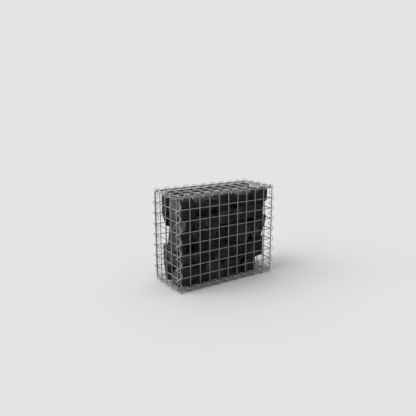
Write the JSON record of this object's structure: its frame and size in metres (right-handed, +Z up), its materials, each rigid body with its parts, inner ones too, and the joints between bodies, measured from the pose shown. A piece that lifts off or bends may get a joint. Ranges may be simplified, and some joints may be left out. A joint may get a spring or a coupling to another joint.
{
  "type": "wire gabion basket filled with stone",
  "caption": "Free-standing gabion: welded wire mesh box laced along its edges with wire spirals and filled with dark broken stone.",
  "frame": {"origin": "on the ground under the middle of the basket", "axes": "+X along the length to the right, -Y towards the front, +Z up"},
  "size_m": [0.5336, 0.2336, 0.4336],
  "materials": {
    "mesh_wire": "dull galvanised",
    "spiral_wire": "dull galvanised",
    "broken_stone": "rough broken dark grey rock"
  },
  "bodies": {
    "root": {"front_mesh_panel": "mesh_wire", "back_mesh_panel": "mesh_wire", "left_end_mesh_panel": "mesh_wire", "right_end_mesh_panel": "mesh_wire", "base_mesh_panel": "mesh_wire", "lid_mesh_panel": "mesh_wire", "front_left_corner_spiral": "spiral_wire", "front_right_corner_spiral": "spiral_wire", "back_left_corner_spiral": "spiral_wire", "back_right_corner_spiral": "spiral_wire", "base_front_spiral": "spiral_wire", "base_back_spiral": "spiral_wire", "base_left_spiral": "spiral_wire", "base_right_spiral": "spiral_wire", "lid_front_spiral": "spiral_wire", "lid_back_spiral": "spiral_wire", "lid_left_spiral": "spiral_wire", "lid_right_spiral": "spiral_wire", "bottom_course_front_stones": "broken_stone", "bottom_course_back_stones": "broken_stone", "second_course_front_stones": "broken_stone", "second_course_back_stones": "broken_stone", "third_course_front_stones": "broken_stone", "third_course_back_stones": "broken_stone", "fourth_course_front_stones": "broken_stone", "fourth_course_back_stones": "broken_stone", "top_course_front_stones": "broken_stone", "top_course_back_stones": "broken_stone"}
  },
  "joints": []
}
